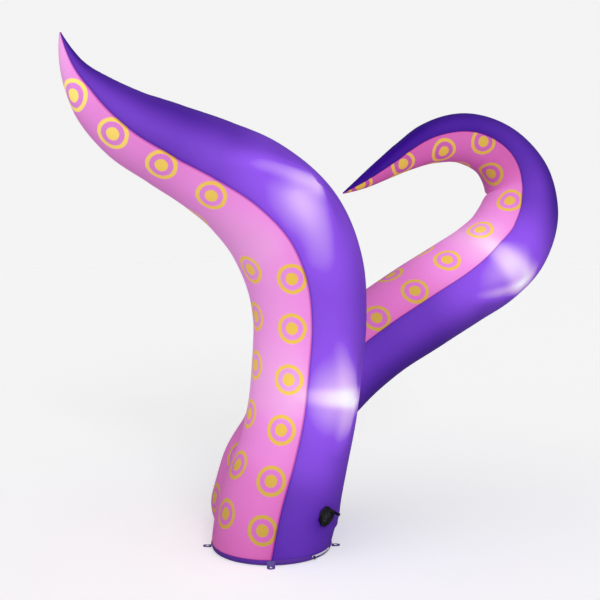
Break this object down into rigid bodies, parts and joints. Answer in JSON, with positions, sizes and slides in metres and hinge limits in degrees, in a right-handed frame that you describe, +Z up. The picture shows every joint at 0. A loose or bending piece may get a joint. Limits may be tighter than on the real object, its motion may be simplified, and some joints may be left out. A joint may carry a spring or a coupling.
{
  "type": "inflatable tentacle decoration",
  "caption": "Inflatable yard decoration: a pair of curling purple cloth tentacles with pink bellies and ring suckers, on one round-footed base with ground tabs and a blower.",
  "frame": {"origin": "on the ground at the centre of the front tentacle's round foot", "axes": "+Z up, +X towards the rear tentacle's loop, -Y towards the viewer's side, where the blower is"},
  "size_m": [2.9664, 0.9759, 2.4008],
  "materials": {
    "belly_cloth": "thin pink polyester cloth, lit from inside, with printed plain rings",
    "purple_cloth": "thin purple polyester cloth, lit from inside",
    "zip_tape": "pale woven zip tape",
    "tab_webbing": "flat woven tape",
    "black_metal": "black painted",
    "black_plastic": "satin black moulding",
    "motor_steel": "dark painted steel",
    "eyelet_metal": "bright rolled eyelet"
  },
  "bodies": {
    "root": {"belly_front": "belly_cloth", "belly_rear": "belly_cloth", "side_near_front": "purple_cloth", "side_far_front": "purple_cloth", "side_near_rear": "purple_cloth", "side_far_rear": "purple_cloth", "base_panel": "purple_cloth", "zip_tape": "zip_tape", "zip_slider": "black_metal", "blower_housing": "black_plastic", "blower_guard": "black_plastic", "blower_clip": "black_plastic", "blower_motor": "motor_steel", "tie_tab_left": "tab_webbing", "eyelet_left": "eyelet_metal", "tie_tab_front": "tab_webbing", "eyelet_front": "eyelet_metal", "tie_tab_right": "tab_webbing", "eyelet_right": "eyelet_metal", "tie_tab_back": "tab_webbing", "eyelet_back": "eyelet_metal"}
  },
  "joints": []
}
